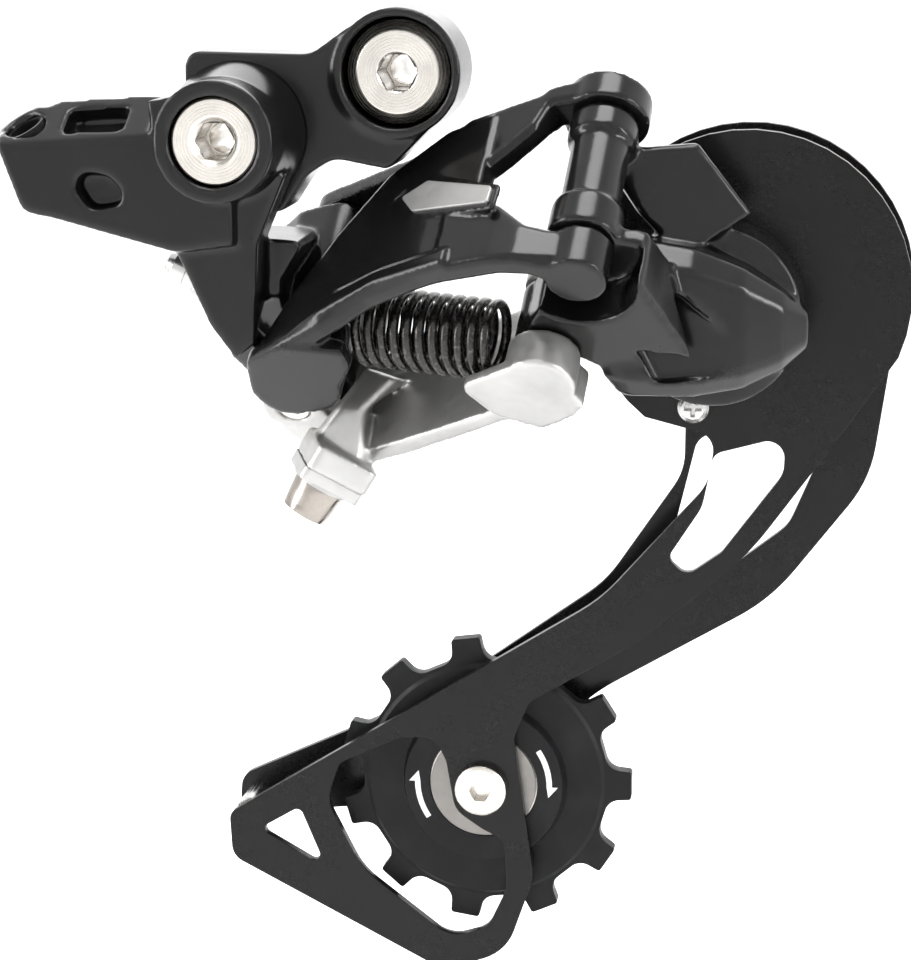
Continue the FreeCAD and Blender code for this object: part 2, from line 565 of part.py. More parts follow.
def build_return_spring():
    """Return spring: one closed coil laid diagonally between the two links."""
    place, length = coil_line()
    radius = size("dims.spring_radius - dims.spring_wire / 2")
    coil = Part.makeHelix(length / size("dims.spring_turns"), length, radius)
    wire = Part.makeCircle(size("dims.spring_wire / 2"), Vector(radius, 0, 0), Vector(0, 1, 0))
    item = doc.addObject("Part::Feature", "return_spring")
    item.Shape = Part.Wire(coil.Edges).makePipeShell([Part.Wire([wire])], True, True)
    item.Placement = place
    return finish(item, "return_spring")


def coil_line():
    """Where the return spring's axis starts and points, and the coil's length along it."""
    start = link_frame(8.3, 0.4, 5.2).Base
    axis = link_frame(28.6, 8.4, 1.7).Base - start
    return Placement(start, Rotation(Vector(0, 0, 1), axis)), axis.Length


def swept_coil(turn):
    """Room for the return spring, with clearance, once the links have swung by an angle in degrees."""
    place, length = coil_line()
    hub = link_frame()
    swing = hub.multiply(Placement(Vector(), Rotation(Vector(0, 0, 1), turn))).multiply(hub.inverse())
    behind = place.multiply(Placement(Vector(0, 0, -1.2), Rotation()))
    return rod(swing.multiply(behind), "dims.spring_radius + 0.4", str(length + 1.2))


# ---- lower knuckle ------------------------------------------------------------------------------

def across_x(x, y, z, wide, high):
    """A limb's section square to the bicycle's length: centre, half width in y, half height in z."""
    turn = Rotation(Vector(0, 1, 0), Vector(0, 0, 1), Vector(1, 0, 0))
    return (Placement(Vector(x, y, z), turn), wide, high)


def build_lower_knuckle():
    """Neck on the outer pin, ribbed fin, broad nose and the round housing of the cage spring."""
    reach = size("dims.link_length")
    far = reach + size("dims.inner_shift_u")
    across = size("dims.inner_shift_v")
    low = "dims.knuckle_low"
    neck = rod(link_frame(reach, 0, size(low)), "4.2", "29.0 - dims.knuckle_low")
    cap = rod(link_frame(reach, 0, 24.6), "5.0", "4.4")
    flange = rod(link_frame(reach, 0, size(low)), "5.2", "5.6")
    housing = rod(side_frame(size("dims.cage_x"), size("dims.cage_z"), 4.1), "dims.housing_radius", "13")
    nose_block = limb([across_x(25.0, -11.0, -33.5, 5.5, 9.5), across_x(34.0, -11.0, -33.5, 8.5, 11.3),
                       across_x(43.0, -10.5, -34.2, 8.5, 10.6), across_x(50.0, -9.2, -35.2, 7.2, 8.6),
                       across_x(55.5, -7.6, -35.8, 5.4, 5.6), across_x(59.0, -6.0, -36.0, 3.0, 2.6)])
    swing_room = prism(link_frame(0, 0, -14),
                       [(-20, -34, 0), (reach - 2, -34, 0), (reach - 2, 3, 0), (far + 5, across - 4, 0),
                        (far + 5, 40, 0), (-20, 40, 0)], "30")
    nose = cut_from(nose_block, [swing_room])
    fin = limb([(pointing((31.5, -8.5, -12.0), (0.75, 0.1, -0.65)), 2.0, 1.4),
                (pointing((38.5, -9.5, -14.5), (0.75, 0.1, -0.65)), 6.5, 1.4),
                (pointing((45.5, -9.5, -22.5), (0.5, 0.1, -0.85)), 6.0, 1.6)])
    eye = rod(link_frame(far, across, -0.35), "4.6", "9.9")
    brace = prism(link_frame(0, 0, -0.35), [(far, across - 5, 0), (reach, -2.5, 0), (reach + 8, 4, 0),
                                            (reach + 6, across + 14, 0), (far + 4.6, across + 6, 0)], "9.9")
    clear_low = rod(link_frame(reach, 0, -8), "8.4", "dims.knuckle_low + 8")
    clear_eye = rod(link_frame(far, across, -8), "dims.boss_radius + 0.5", "7.65")
    chamber = rod(side_frame(size("dims.cage_x"), size("dims.cage_z"), 5), "dims.housing_radius - 2", "11.5")
    axle_bore = rod(side_frame(size("dims.cage_x"), size("dims.cage_z"), 5), "dims.axle_radius + 0.04", "15")
    recess = prism(side_frame(0, 0, -17.2),
                   [(31.1, -28.8, 1), (40, -28.8, 4), (50.6, -37.4, 1.5), (47.9, -41.4, 1), (38.1, -42.5, 1),
                    (34.6, -35.7, 1)], "4")
    bores = [pin_hole(reach, 0, "1.8", "33"), pin_hole(far, across, "-5.2", "15")]
    solid = joined([neck, cap, flange, housing, nose, fin, eye, brace])
    tools = [clear_low, clear_eye, chamber, axle_bore, recess]
    return finish(cut_from(solid, tools + bores), "lower_knuckle")


def cage_frame(y=0.0):
    return side_frame(size("dims.cage_x"), size("dims.cage_z"), y)


def build_cage_pivot():
    """Hollow axle of the cage, its torsion spring, the seal ring and the end plug."""
    def ring(label, inner, outer, low, high):
        turned(label, cage_frame(), [(inner, low), (outer, low), (outer, high), (inner, high)])
    ring("cage_axle", "2.4", "dims.axle_radius", "-6.0", "8.6")
    ring("cage_spring", "dims.axle_radius + 2.2", "dims.housing_radius - 2.6", "-3.4", "5.6")
    ring("cage_seal_ring", "dims.axle_radius + 0.1", "dims.housing_radius - 2", "-4.05", "-3.5")


# ---- cage and pulleys ---------------------------------------------------------------------------

def arc_points(x, z, radius, first, last, steps):
    """Evenly spaced sharp corners on an arc, by angle in degrees."""
    angles = [math.radians(first + (last - first) * k / steps) for k in range(steps + 1)]
    return [(x + radius * math.cos(a), z + radius * math.sin(a), 0) for a in angles]


def build_outer_plate():
    """Outer cage plate: a round head, a curved arm and a triangular foot with open windows."""
    gx, gz, head = size("dims.guide_x"), size("dims.guide_z"), size("dims.cage_disc_radius")
    outline = arc_points(gx, gz, head, 232, -22, 30) + [
        (62.2, -56.0, 30), (50.6, -72.4, 40), (34.0, -87.0, 60), (17.4, -97.3, 3), (15.0, -103.0, 3),
        (18.2, -126.0, 8), (14.0, -138.5, 8), (4.0, -142.2, 6), (-30.0, -125.0, 3), (-30.4, -117.8, 2),
        (28.2, -80.5, 25), (44.2, -62.0, 8), (45.2, -54.5, 3)]
    base = "-dims.outer_plate_face - dims.plate_thickness"
    body = plate("cage_outer_plate", side_frame(0, 0), outline, "dims.plate_thickness", base)
    top = "-dims.outer_plate_face + 1"
    opening(body, [(45.0, -57.2, 2.0), (55.6, -54.2, 2.5), (55.4, -60.0, 4), (46.4, -72.4, 2),
                   (41.2, -76.2, 2), (38.3, -73.6, 1.5), (43.4, -65.5, 6)], top, "4")
    opening(body, [(-25.6, -120.2, 1), (-19.0, -116.2, 1), (-14.8, -126.2, 1)], top, "4")
    opening(body, [(-2.9, -104.0, 3), (2.5, -103.6, 3), (4.4, -107.4, 3), (5.8, -115.4, 4), (10.0, -118.2, 6),
                   (13.6, -120.0, 2.5), (14.0, -128.0, 4), (11.0, -134.6, 4), (5.0, -136.6, 5),
                   (-9.0, -126.0, 12), (-14.6, -115.0, 5), (-12.6, -108.6, 3)], top, "4")
    for x, z, radius in (("dims.cage_x", "dims.cage_z", "dims.axle_radius"),
                         ("dims.tension_x", "dims.tension_z", "dims.pulley_bolt_radius"),
                         ("dims.stop_x", "dims.stop_z", "dims.screw_radius")):
        hole(body, x, z, radius, top, "4")
    return body


def build_inner_plate():
    """Inner cage plate: follows the chain's run behind both pulleys."""
    gx, gz = size("dims.guide_x"), size("dims.guide_z")
    outline = arc_points(gx, gz, 24.4, 140, -30, 22) + [
        (68.2, -62.4, 20), (53.6, -81.8, 30), (27.4, -97.5, 30), (18.0, -106.0, 5), (17.0, -115.0, 5),
        (10.0, -120.0, 5), (-4.0, -118.0, 5), (-31.0, -121.0, 3), (-30.4, -114.5, 3), (2.0, -99.0, 10),
        (28.0, -80.0, 20), (40.0, -62.0, 10), (40.0, -50.0, 6), (33.0, -38.0, 6)]
    base = "-dims.inner_plate_face - dims.plate_thickness"
    body = plate("cage_inner_plate", side_frame(0, 0), outline, "dims.plate_thickness", base)
    top = "-dims.inner_plate_face + 1"
    opening(body, [(42.0, -56.4, 3), (63.0, -53.0, 4), (56.0, -70.0, 6), (44.0, -79.5, 3), (37.0, -78.0, 2)],
            top, "4")
    for x, z, radius in (("dims.guide_x", "dims.guide_z", "dims.pulley_bolt_radius"),
                         ("dims.tension_x", "dims.tension_z", "dims.pulley_bolt_radius"),
                         ("dims.rivet_x", "dims.rivet_z", "1.5")):
        hole(body, x, z, radius, top, "4")
    return body


def toothed_ring(label, x, z):
    """Pulley: a rim with squat flat-topped teeth, a dished web and a hub bored for its bearing."""
    place = side_frame(x, z, 9.85)
    half, rim, hub = "dims.tooth_width / 2", "dims.rim_width / 2", "dims.hub_width / 2"
    body = doc.addObject("PartDesign::Body", label)
    sketch = body_sketch(body, "XY_Plane", f"-{half}")
    root, tip = size("dims.pulley_root_radius"), size("dims.pulley_tip_radius")
    step = 360 / size("dims.pulley_teeth")
    corners = []
    for tooth in range(int(size("dims.pulley_teeth"))):
        middle = tooth * step
        for radius, turn, rounding in ((root, -7.4, 2.4), (tip, -5.6, 0.5),
                                       (tip, 5.6, 0.5), (root, 7.4, 2.4)):
            angle = math.radians(middle + turn)
            corners.append((radius * math.cos(angle), radius * math.sin(angle), rounding))
    rounded_outline(sketch, corners)
    pad = body.newObject("PartDesign::Pad", "teeth")
    pad.Profile = sketch
    pad.setExpression("Length", "dims.tooth_width")
    profile = body_sketch(body, "XZ_Plane")
    bound_polygon(profile, [("dims.pulley_bore", f"-{hub}"), ("12.4", f"-{hub}"), ("13.0", f"-{rim}"),
                            ("18.3", f"-{rim}"), ("18.9", f"-{half}"), ("18.9", half), ("18.3", rim),
                            ("13.0", rim), ("12.4", hub), ("dims.pulley_bore", hub)])
    ring = body.newObject("PartDesign::Revolution", "ring")
    ring.Profile = profile
    ring.ReferenceAxis = (profile, ["V_Axis"])
    ring.Angle = 360
    hole(body, "0", "0", "dims.pulley_bore", "6", "12")
    body.Placement = place
    return finish(body, label)


def build_pulley(name, x, z):
    """One pulley with its bearing, inner sleeve, two dust caps and bolt."""
    place = side_frame(x, z, 9.85)
    hub = "dims.hub_width / 2"
    toothed_ring(f"{name}_pulley", x, z)
    turned(f"{name}_bearing_race", place,
           [("5.05", f"0.6 - {hub}"), ("dims.pulley_bore", f"0.6 - {hub}"),
            ("dims.pulley_bore", f"{hub} - 0.6"), ("5.05", f"{hub} - 0.6")])
    turned(f"{name}_sleeve", place,
           [("dims.pulley_bolt_radius", "-3.8"), ("5.0", "-3.8"), ("5.0", "3.8"),
            ("dims.pulley_bolt_radius", "3.8")])
    for label, sign in (("outer", 1), ("inner", -1)):
        low, high = (3.1, 3.8) if sign > 0 else (-3.8, -3.1)
        turned(f"{name}_cap_{label}", place,
               [("5.0", str(low)), ("8.3", str(low)), ("8.3", str(high)), ("5.0", str(high))])


def build_pulley_bolts():
    """Bolts through the cage plates; the lower one's head lies on the outer plate's round boss."""
    head = turned("tension_bolt", side_frame(size("dims.tension_x"), size("dims.tension_z")),
                  [("0", "-15.6"), ("dims.pulley_bolt_radius - 0.3", "-15.6"),
                   ("dims.pulley_bolt_radius", "-15.3"),
                   ("dims.pulley_bolt_radius", "-dims.outer_plate_face"), ("4.0", "-dims.outer_plate_face"),
                   ("4.0", "-dims.outer_plate_face + 1.6"), ("3.5", "-dims.outer_plate_face + 2.0"),
                   ("0", "-dims.outer_plate_face + 2.0")])
    pocket(head, hex_corners("3.0"), "-dims.outer_plate_face + 2.0", "1.6")
    turned("guide_bolt", side_frame(size("dims.guide_x"), size("dims.guide_z")),
           [("0", "-17.2"), ("3.4", "-17.2"), ("4.0", "-16.8"), ("4.0", "-15.2"),
            ("dims.pulley_bolt_radius", "-15.2"), ("dims.pulley_bolt_radius", "-6.0"), ("0", "-6.0")])


def build_cage_fittings():
    """Stop pin and screw of the cage and the rivet that spaces the plates at the foot."""
    turned("cage_rivet", side_frame(size("dims.rivet_x"), size("dims.rivet_z")),
           [("0", "-16.0"), ("1.5", "-16.0"), ("1.5", "-13.7"), ("2.0", "-13.7"),
            ("2.0", "-6.0"), ("0", "-6.0")])
    pan_screw("cage_stop_screw", side_frame(size("dims.stop_x"), size("dims.stop_z"), 6.4), "1.9", "4.6")


build_hanger_link()
build_hanger_bolt()
build_hanger_fittings()
build_pivot_bolt()
build_upper_knuckle()
build_stroke_screws()
build_cable_stop()
build_tension_screw()
build_pins()
build_outer_link()
build_emblem()
build_inner_link()
build_cable_clamp()
build_return_spring()
build_lower_knuckle()
build_cage_pivot()
build_outer_plate()
build_inner_plate()
build_pulley("guide", size("dims.guide_x"), size("dims.guide_z"))
build_pulley("tension", size("dims.tension_x"), size("dims.tension_z"))
build_pulley_bolts()
build_cage_fittings()

doc.recompute()
for item in doc.Objects:
    if "Invalid" in item.State or "Error" in item.State:
        raise RuntimeError(f"{item.Name} ({item.Label}) failed: {item.State}")
for piece in pieces:
    if piece.Shape.isNull() or not piece.Shape.isValid():
        raise RuntimeError(f"{piece.Label} has no valid shape")

os.makedirs("parts", exist_ok=True)
for piece in pieces:
    piece.Shape.exportStep(f"parts/{piece.Label}.step")
    print(f"{piece.Label}: {len(piece.Shape.Solids)} solid, {piece.Shape.Volume:.1f} mm3")
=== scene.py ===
import bpy
import bmesh
import json
import math
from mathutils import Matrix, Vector


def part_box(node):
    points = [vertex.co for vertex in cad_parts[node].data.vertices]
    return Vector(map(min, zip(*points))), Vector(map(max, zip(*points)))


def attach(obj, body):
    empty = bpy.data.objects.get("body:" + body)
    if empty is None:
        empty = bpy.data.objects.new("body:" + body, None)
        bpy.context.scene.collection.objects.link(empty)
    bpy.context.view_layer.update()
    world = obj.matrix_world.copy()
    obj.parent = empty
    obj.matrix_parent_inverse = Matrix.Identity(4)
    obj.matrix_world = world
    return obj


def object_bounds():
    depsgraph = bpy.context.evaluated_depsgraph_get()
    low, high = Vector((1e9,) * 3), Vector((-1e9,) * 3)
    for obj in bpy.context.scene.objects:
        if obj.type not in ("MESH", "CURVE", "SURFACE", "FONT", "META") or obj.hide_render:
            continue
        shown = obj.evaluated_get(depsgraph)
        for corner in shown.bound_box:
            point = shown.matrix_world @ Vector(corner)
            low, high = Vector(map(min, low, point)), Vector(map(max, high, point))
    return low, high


# Looks of a rear bicycle derailleur.  Metres, in the CAD frame: +X forward, +Y inboard, +Z up.

MM = 0.001
INBOARD = (0, 1, 0)

# camera: degrees round and above the object, metres away, and a lens in millimetres
VIEW_AZIMUTH = 9.0
VIEW_ELEVATION = 12.5
VIEW_DISTANCE = 0.400
VIEW_AIM = Vector((8.47, -11.87, -58.87)) * MM
LENS = 102.75
SENSOR_WIDTH = 36.0

# stage: the floor lies below the object at rest, because the links' swing lowers the cage by 35 mm
FLOOR_GAP = 60 * MM
FLOOR_VALUE = 0.86
FLOOR_GLOW = 0.34
WORLD_GLOW = 0.16

# finishes: noise scales are repeats per metre
BLAST_GRAIN = 2600.0
# patches and reach of the paler edges, which are partly wear and partly a painted highlight
WEAR_AND_HIGHLIGHT_PATCHES = 420.0
WEAR_AND_HIGHLIGHT_REACH = 0.35 * MM
RING_PITCH = 0.22 * MM
WAVE_LENGTH = 0.157        # distance between the rings of a wave texture of scale 1

# colours
BLACK = (0.0035, 0.0033, 0.0034)
# paler edge colour: partly rubbed wear, partly a painted highlight along the edges
SATIN_BLACK = (0.0042, 0.0040, 0.0040)
WORN_AND_HIGHLIGHT_BLACK = (0.016, 0.015, 0.014)
RESIN_BLACK = (0.0045, 0.0045, 0.005)
STEEL = (0.60, 0.57, 0.53)
CHROME = (0.46, 0.455, 0.45)
BRONZE = (0.42, 0.34, 0.22)
CAP_STEEL = (0.20, 0.19, 0.18)
BOLT_STEEL = (0.30, 0.275, 0.25)

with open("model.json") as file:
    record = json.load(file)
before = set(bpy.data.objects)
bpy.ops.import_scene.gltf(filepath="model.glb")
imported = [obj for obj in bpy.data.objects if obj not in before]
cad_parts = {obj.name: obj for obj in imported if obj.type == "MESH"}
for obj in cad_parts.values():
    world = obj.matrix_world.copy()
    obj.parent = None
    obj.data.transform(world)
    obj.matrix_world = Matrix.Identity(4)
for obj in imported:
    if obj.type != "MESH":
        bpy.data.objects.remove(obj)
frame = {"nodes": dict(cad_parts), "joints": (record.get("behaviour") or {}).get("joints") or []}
cad_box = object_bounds()
nodes = frame["nodes"]


# ---- helpers ------------------------------------------------------------------------------------

def middle(node):
    """Centre of a node's box at rest."""
    low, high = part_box(node)
    return (Vector(low) + Vector(high)) / 2


def joint_of(name):
    """Place and direction of a joint's axis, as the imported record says."""
    joint = next(j for j in frame["joints"] if j["name"] == name)
    return Vector(joint["pos_m"]), Vector(joint["axis"]).normalized()


class Nodes:
    """Short calls for building one material's node tree."""

    def __init__(self, name):
        self.material = bpy.data.materials.new(name)
        self.material.use_nodes = True
        self.tree = self.material.node_tree
        self.shader = self.tree.nodes["Principled BSDF"]
        self.place = self.tree.nodes.new("ShaderNodeTexCoord").outputs["Object"]

    def add(self, kind, **settings):
        """A new node of the tree, with its settings."""
        node = self.tree.nodes.new(kind)
        for key, value in settings.items():
            setattr(node, key, value)
        return node

    def link(self, source, target):
        self.tree.links.new(source, target)

    def noise(self, scale, detail):
        """Cloudy noise from 0 to 1 in the object's own coordinates."""
        node = self.add("ShaderNodeTexNoise")
        node.inputs["Scale"].default_value = scale
        node.inputs["Detail"].default_value = detail
        node.inputs["Roughness"].default_value = 0.6
        self.link(self.place, node.inputs["Vector"])
        return node.outputs["Fac"]

    def span(self, source, low, high, start=0.3, end=0.7):
        """source between start and end becomes a value between low and high."""
        node = self.add("ShaderNodeMapRange")
        self.link(source, node.inputs["Value"])
        for key, value in (("From Min", start), ("From Max", end), ("To Min", low), ("To Max", high)):
            node.inputs[key].default_value = value
        return node.outputs["Result"]

    def blend(self, factor, first, second):
        """The first colour where factor is 0, the second where it is 1."""
        node = self.add("ShaderNodeMix", data_type="RGBA")
        self.link(factor, node.inputs["Factor"])
        node.inputs["A"].default_value = (*first, 1)
        node.inputs["B"].default_value = (*second, 1)
        return node.outputs["Result"]

    def combine(self, operation, first, second):
        """Two values joined by an operation such as ADD or MULTIPLY."""
        node = self.add("ShaderNodeMath", operation=operation)
        self.link(first, node.inputs[0])
        self.link(second, node.inputs[1])
        return node.outputs[0]

    def edges(self, reach):
        """1 on sharp edges within reach, 0 elsewhere: where a finish wears first, and where a painted
        edge highlight goes.
        """
        soft = self.add("ShaderNodeBevel", samples=4)
        soft.inputs["Radius"].default_value = reach
        plain = self.add("ShaderNodeNewGeometry")
        dot = self.add("ShaderNodeVectorMath", operation="DOT_PRODUCT")
        self.link(soft.outputs["Normal"], dot.inputs[0])
        self.link(plain.outputs["Normal"], dot.inputs[1])
        return self.span(dot.outputs["Value"], 1.0, 0.0, 0.80, 0.995)

    def relief(self, height, strength, depth, rounding=0.0):
        """Bump from a height, on edges that are rounded off by a radius."""
        bump = self.add("ShaderNodeBump")
        bump.inputs["Strength"].default_value = strength
        bump.inputs["Distance"].default_value = depth
        self.link(height, bump.inputs["Height"])
        if rounding > 0:
            soft = self.add("ShaderNodeBevel", samples=4)
            soft.inputs["Radius"].default_value = rounding
            self.link(soft.outputs["Normal"], bump.inputs["Normal"])
        self.link(bump.outputs["Normal"], self.shader.inputs["Normal"])

    def set(self, **values):
        """Plain values of the surface shader; an underscore stands for a space."""
        for key, value in values.items():
            self.shader.inputs[key.replace("_", " ")].default_value = value


# ---- materials ----------------------------------------------------------------------------------

def anodised(name, base, rough, coat, shine):
    """Black anodised alloy: a fine blasted grain, soft cloudy gloss and slightly paler edges, partly
    rubbed wear and partly a painted highlight.
    """
    m = Nodes(name)
    cloud = m.noise(55.0, 4.0)
    fine = m.noise(BLAST_GRAIN, 3.0)
    patches = m.span(m.noise(WEAR_AND_HIGHLIGHT_PATCHES, 6.0), 0.0, 1.0, 0.42, 0.62)
    # edges paled in patches: partly wear, partly a painted highlight
    wear_and_highlight = m.combine("MULTIPLY", m.edges(WEAR_AND_HIGHLIGHT_REACH), patches)
    m.link(m.blend(wear_and_highlight, base, WORN_AND_HIGHLIGHT_BLACK), m.shader.inputs["Base Color"])
    gloss = m.combine("ADD", cloud, m.span(fine, -0.08, 0.08))
    m.link(m.span(gloss, rough - 0.06, rough + 0.08), m.shader.inputs["Roughness"])
    m.relief(fine, 0.06, 0.03 * MM, 0.25 * MM)
    m.set(Metallic=0.0, Coat_Weight=coat, Coat_Roughness=0.16, Specular_IOR_Level=shine)
    return m.material


def turned_metal(name, centre, axis, colour, rough):
    """Metal with the fine rings that a lathe leaves round an axis."""
    m = Nodes(name)
    turn = Vector((0, 0, 1)).rotation_difference(Vector(axis)).inverted()
    mapping = m.add("ShaderNodeMapping")
    matrix = turn.to_matrix()
    mapping.inputs["Location"].default_value = -(matrix @ Vector(centre))
    mapping.inputs["Rotation"].default_value = turn.to_euler()
    m.link(m.place, mapping.inputs["Vector"])
    wave = m.add("ShaderNodeTexWave", wave_type="RINGS", rings_direction="Z")
    wave.inputs["Scale"].default_value = WAVE_LENGTH / RING_PITCH
    wave.inputs["Distortion"].default_value = 0.4
    wave.inputs["Detail"].default_value = 2.0
    m.link(mapping.outputs["Vector"], wave.inputs["Vector"])
    rings = wave.outputs["Fac"]
    smear = m.noise(160.0, 5.0)
    duller = tuple(c * 0.78 for c in colour)
    m.link(m.blend(m.span(smear, 0.0, 1.0), duller, colour), m.shader.inputs["Base Color"])
    streaks = m.combine("ADD", rings, smear)
    m.link(m.span(streaks, rough - 0.05, rough + 0.10, 0.4, 1.4), m.shader.inputs["Roughness"])
    m.relief(rings, 0.16, 0.02 * MM, 0.15 * MM)
    m.set(Metallic=1.0, Anisotropic=0.35)
    return m.material


def cast_silver():
    """Satin cast alloy with a fine peened skin."""
    m = Nodes("cast_silver")
    skin = m.noise(900.0, 6.0)
    cloud = m.noise(90.0, 3.0)
    m.link(m.blend(m.span(cloud, 0.0, 1.0), (0.33, 0.328, 0.322), (0.43, 0.426, 0.418)),
           m.shader.inputs["Base Color"])
    m.link(m.span(skin, 0.30, 0.44), m.shader.inputs["Roughness"])
    m.relief(skin, 0.22, 0.05 * MM, 0.35 * MM)
    m.set(Metallic=0.85)
    return m.material


def spring_steel():
    """Blackened spring wire, drawn marks and a few bare places."""
    m = Nodes("spring_steel")
    scuff = m.noise(1300.0, 5.0)
    m.link(m.blend(m.span(scuff, 0.0, 1.0, 0.56, 0.76), (0.018, 0.017, 0.016), (0.14, 0.13, 0.12)),
           m.shader.inputs["Base Color"])
    m.link(m.span(scuff, 0.20, 0.38), m.shader.inputs["Roughness"])
    m.relief(scuff, 0.10, 0.02 * MM)
    m.set(Metallic=0.8, Coat_Weight=0.3)
    return m.material


def moulded(name, colour, rough):
    """Moulded resin with a faint orange-peel skin and dusty variation."""
    m = Nodes(name)
    peel = m.noise(700.0, 4.0)
    dust = m.noise(120.0, 5.0)
    m.link(m.blend(m.span(dust, 0.0, 1.0, 0.45, 0.8), colour, tuple(c * 1.7 + 0.004 for c in colour)),
           m.shader.inputs["Base Color"])
    m.link(m.span(dust, rough - 0.05, rough + 0.10), m.shader.inputs["Roughness"])
    m.relief(peel, 0.14, 0.03 * MM, 0.2 * MM)
    m.set(Specular_IOR_Level=0.14)
    return m.material


def printed_mark():
    """Pale pad-printed ink, a little thin in places."""
    m = Nodes("printed_mark")
    thin = m.noise(1500.0, 4.0)
    m.link(m.blend(m.span(thin, 0.0, 1.0), (0.55, 0.55, 0.54), (0.80, 0.80, 0.78)),
           m.shader.inputs["Base Color"])
    m.link(m.span(thin, 0.42, 0.60), m.shader.inputs["Roughness"])
    return m.material


# ---- node finishes ------------------------------------------------------------------------------

def paint(names, material):
    """Gives each named node one material."""
    for name in names:
        slots = nodes[name].data.materials
        slots.clear()
        slots.append(material)


def forge(name, voxel, passes):
    """Gives a forged or cast node its soft edges with modifiers; its mesh stays as it is."""
    item = nodes[name]
    remesh = item.modifiers.new("skin", "REMESH")
    remesh.mode = "VOXEL"
    remesh.voxel_size = voxel
    remesh.use_smooth_shade = True
    smooth = item.modifiers.new("soften", "SMOOTH")
    smooth.factor = 0.5
    smooth.iterations = passes


def round_edges(name, width):
    """Breaks the sharp edges of a stamped or machined node."""
    item = nodes[name]
    weld = item.modifiers.new("weld", "WELD")
    weld.merge_threshold = 0.002 * MM
    bevel = item.modifiers.new("edge", "BEVEL")
    bevel.width = width
    bevel.segments = 3
    bevel.limit_method = "ANGLE"
    bevel.angle_limit = math.radians(38)
    bevel.harden_normals = True


def finish_castings():
    """Links, knuckles and plates, with the spring and the moulded parts."""
    gloss = anodised("black_gloss", BLACK, 0.20, 0.18, 0.19)
    satin = anodised("black_satin", SATIN_BLACK, 0.25, 0.08, 0.14)
    resin = moulded("black_resin", RESIN_BLACK, 0.38)
    paint(("hanger_link", "upper_knuckle", "outer_link", "lower_knuckle"), gloss)
    paint(("cage_outer_plate", "cage_inner_plate"), satin)
    paint(("inner_link", "cable_clamp_plate", "clamp_washer", "emblem"), cast_silver())
    paint(("return_spring", "cage_spring", "hanger_washer"), spring_steel())
    paint(("guide_pulley", "tension_pulley", "cable_stop_liner", "cage_seal_ring"), resin)


def finish_turned_parts():
    """Bolts, screws, pins, caps and bushes, each with rings round its own axis."""
    paint(("guide_cap_outer", "guide_cap_inner", "tension_cap_outer", "tension_cap_inner"),
          turned_metal("bearing_cap", middle("tension_cap_outer"), INBOARD, CAP_STEEL, 0.34))
    for name in ("hanger_bolt", "pivot_bolt", "tension_bolt", "guide_bolt", "cage_axle", "tension_sleeve",
                 "guide_sleeve", "tension_bearing_race", "guide_bearing_race"):
        paint((name,), turned_metal(name + "_metal", middle(name), INBOARD, STEEL, 0.24))
    paint(("hanger_bush", "pivot_bush"),
          turned_metal("bush_metal", middle("hanger_bush"), INBOARD, BRONZE, 0.34))
    for name, joint in (("tension_screw", "tension_screw_turn"), ("high_limit_screw", "high_limit_turn"),
                        ("low_limit_screw", "low_limit_turn")):
        paint((name,), turned_metal(name + "_metal", *joint_of(joint), CHROME, 0.16))
    paint(("cable_clamp_bolt",),
          turned_metal("clamp_bolt_metal", *joint_of("clamp_bolt_turn"), BOLT_STEEL, 0.22))
    paint(("outer_pin_upper", "inner_pin_upper", "outer_pin_lower", "inner_pin_lower"),
          turned_metal("pin_metal", *joint_of("link_swing"), STEEL, 0.28))
    paint(("cage_rivet", "cage_stop_screw"),
          turned_metal("bright_trim", middle("cage_stop_screw"), INBOARD, CHROME, 0.18))


def shape_nodes():
    """Soft edges on the castings, fine broken edges on the stamped and machined parts."""
    for name, voxel, passes in (("upper_knuckle", 0.42 * MM, 6), ("lower_knuckle", 0.36 * MM, 16),
                                ("outer_link", 0.34 * MM, 8), ("inner_link", 0.36 * MM, 6),
                                ("hanger_link", 0.40 * MM, 5)):
        forge(name, voxel, passes)
    for name in ("cage_outer_plate", "cage_inner_plate"):
        round_edges(name, 0.45 * MM)
    for name in ("guide_pulley", "tension_pulley", "hanger_bolt", "pivot_bolt", "cable_clamp_bolt",
                 "tension_bolt", "cable_clamp_plate"):
        round_edges(name, 0.15 * MM)


# ---- added detail -------------------------------------------------------------------------------

def new_object(name, mesh, material):
    """Turns a bmesh into an object of the scene."""
    data = bpy.data.meshes.new(name)
    mesh.to_mesh(data)
    mesh.free()
    data.materials.append(material)
    item = bpy.data.objects.new(name, data)
    bpy.context.scene.collection.objects.link(item)
    return item


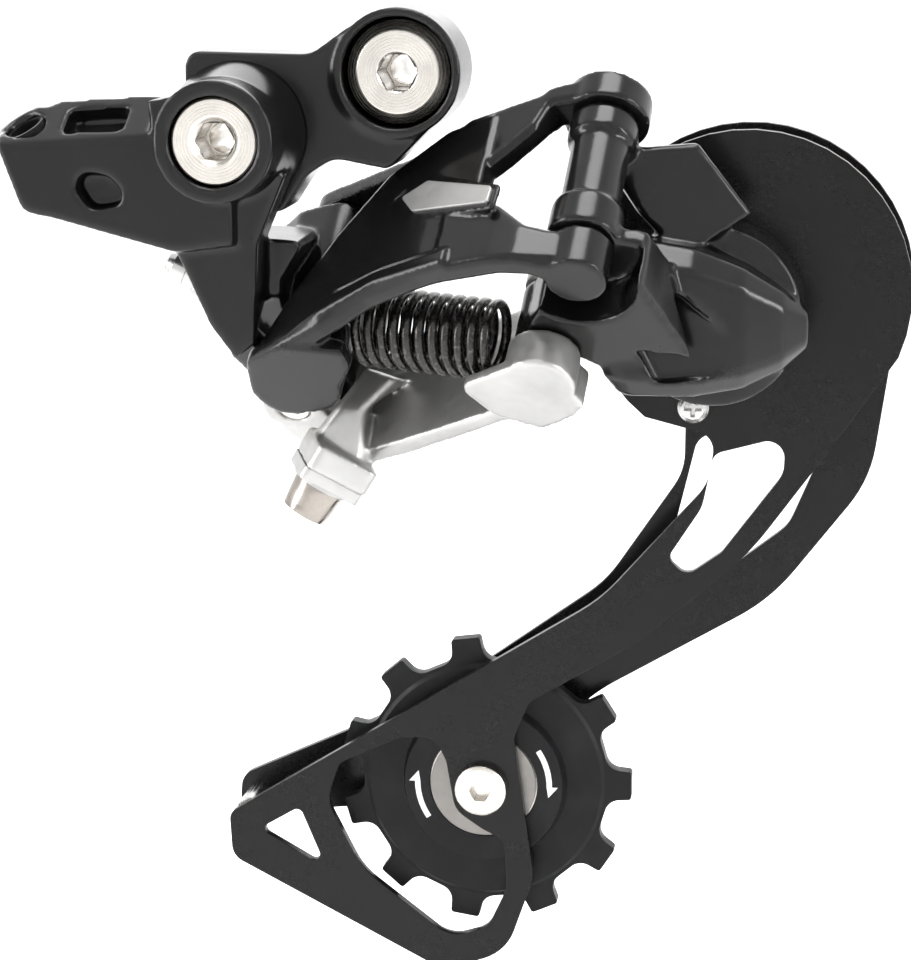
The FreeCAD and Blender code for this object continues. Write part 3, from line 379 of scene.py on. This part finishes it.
def arrow_mark(label, hub, body, start, sweep, material):
    """A curved arrow printed on a pulley's outboard face: an arc band that ends in a one-sided point."""
    radius, half, thick, steps = 10.4 * MM, 0.42 * MM, 0.05 * MM, 14
    barb_reach, tip_share = 3.2 * half, 1.28

    def spot(share, offset):
        """Point on the face, by its share of the sweep and its offset from the arc's radius."""
        angle = math.radians(start + sweep * share)
        return hub + Vector((math.cos(angle), 0, math.sin(angle))) * (radius + offset)

    mesh = bmesh.new()
    pairs = [[mesh.verts.new(spot(k / steps, side * half)) for side in (-1, 1)] for k in range(steps + 1)]
    for near, far in zip(pairs, pairs[1:]):
        mesh.faces.new((near[0], near[1], far[1], far[0]))
    barb = mesh.verts.new(spot(1, barb_reach))
    tip = mesh.verts.new(spot(tip_share, 0))
    mesh.faces.new((pairs[-1][0], pairs[-1][1], barb, tip))
    grown = bmesh.ops.extrude_face_region(mesh, geom=list(mesh.faces))
    moved = [item for item in grown["geom"] if isinstance(item, bmesh.types.BMVert)]
    bmesh.ops.translate(mesh, vec=(0, -thick, 0), verts=moved)
    bmesh.ops.recalc_face_normals(mesh, faces=list(mesh.faces))
    item = new_object(label, mesh, material)
    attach(item, body)


def add_marks():
    """Two direction arrows on each pulley, opposite each other."""
    ink = printed_mark()
    for pulley in ("guide", "tension"):
        place, _ = joint_of(pulley + "_pulley_spin")
        low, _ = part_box(pulley + "_pulley")
        hub = Vector((place.x, low[1], place.z))
        for count, start in enumerate((214.0, 34.0), start=1):
            arrow_mark(f"{pulley}_arrow_{count}", hub, pulley + "_pulley_body", start, -34.0, ink)


# ---- stage --------------------------------------------------------------------------------------

def floor_white():
    """Matt white with the faintest broad clouds, lifted by a little light of its own."""
    m = Nodes("floor_white")
    clouds = m.span(m.noise(3.0, 6.0), 0.0, 1.0)
    pale = m.blend(clouds, (FLOOR_VALUE,) * 3, (FLOOR_VALUE * 0.985,) * 3)
    m.link(pale, m.shader.inputs["Base Color"])
    m.set(Roughness=0.9, Emission_Color=(1, 1, 1, 1), Emission_Strength=FLOOR_GLOW)
    return m.material


def add_floor(low):
    """A pale round stage: flat under the object, swept up into a wall all the way round."""
    flat, cove, top, steps, sides = 2.2, 0.7, 3.6, 10, 64
    profile = [(0.0, 0.0), (flat, 0.0)]
    for k in range(1, steps + 1):
        angle = math.radians(90 * k / steps)
        profile.append((flat + cove * math.sin(angle), cove - cove * math.cos(angle)))
    profile.append((flat + cove, top))
    profile.append((0.0, top))
    height = low - FLOOR_GAP
    mesh = bmesh.new()
    line = [mesh.verts.new((radius, 0, z + height)) for radius, z in profile]
    edges = [mesh.edges.new(pair) for pair in zip(line, line[1:])]
    bmesh.ops.spin(mesh, geom=line + edges, cent=(0, 0, 0), axis=(0, 0, 1), angle=math.tau, steps=sides)
    bmesh.ops.remove_doubles(mesh, verts=list(mesh.verts), dist=0.1 * MM)
    for face in mesh.faces:
        face.smooth = True
    new_object("floor", mesh, floor_white())


def add_light(name, place, size, power):
    """A soft box aimed at the object's middle."""
    data = bpy.data.lights.new(name, "AREA")
    data.shape = "RECTANGLE"
    data.size, data.size_y = size
    data.energy = power
    item = bpy.data.objects.new(name, data)
    item.location = place
    item.rotation_euler = (VIEW_AIM - Vector(place)).to_track_quat("-Z", "Y").to_euler()
    bpy.context.scene.collection.objects.link(item)


def add_lights():
    """Three soft boxes round the camera's side, one behind, and a dim white world."""
    add_light("top_box", (0.05, -0.05, 0.75), (0.50, 0.40), 6.5)
    add_light("left_box", (-0.75, -0.35, 0.15), (0.26, 0.60), 5.5)
    add_light("right_box", (0.80, -0.25, 0.20), (0.16, 0.55), 4.5)
    add_light("back_box", (0.0, 0.60, 0.35), (1.2, 0.5), 3.0)
    world = bpy.data.worlds.new("studio")
    world.use_nodes = True
    background = world.node_tree.nodes["Background"]
    background.inputs["Color"].default_value = (1, 1, 1, 1)
    background.inputs["Strength"].default_value = WORLD_GLOW
    bpy.context.scene.world = world


def add_camera():
    """The view that the object is meant to be seen from first."""
    azimuth, elevation = math.radians(VIEW_AZIMUTH), math.radians(VIEW_ELEVATION)
    back = Vector((math.sin(azimuth) * math.cos(elevation), -math.cos(azimuth) * math.cos(elevation),
                   math.sin(elevation)))
    data = bpy.data.cameras.new("camera")
    data.lens = LENS
    data.sensor_width = SENSOR_WIDTH
    data.clip_start = 0.01
    item = bpy.data.objects.new("camera", data)
    item.location = VIEW_AIM + back * VIEW_DISTANCE
    item.rotation_euler = back.to_track_quat("Z", "Y").to_euler()
    bpy.context.scene.collection.objects.link(item)
    bpy.context.scene.camera = item


finish_castings()
finish_turned_parts()
shape_nodes()
add_marks()
add_floor(cad_box[0][2])
add_lights()
add_camera()
bpy.context.scene.view_settings.view_transform = "Standard"
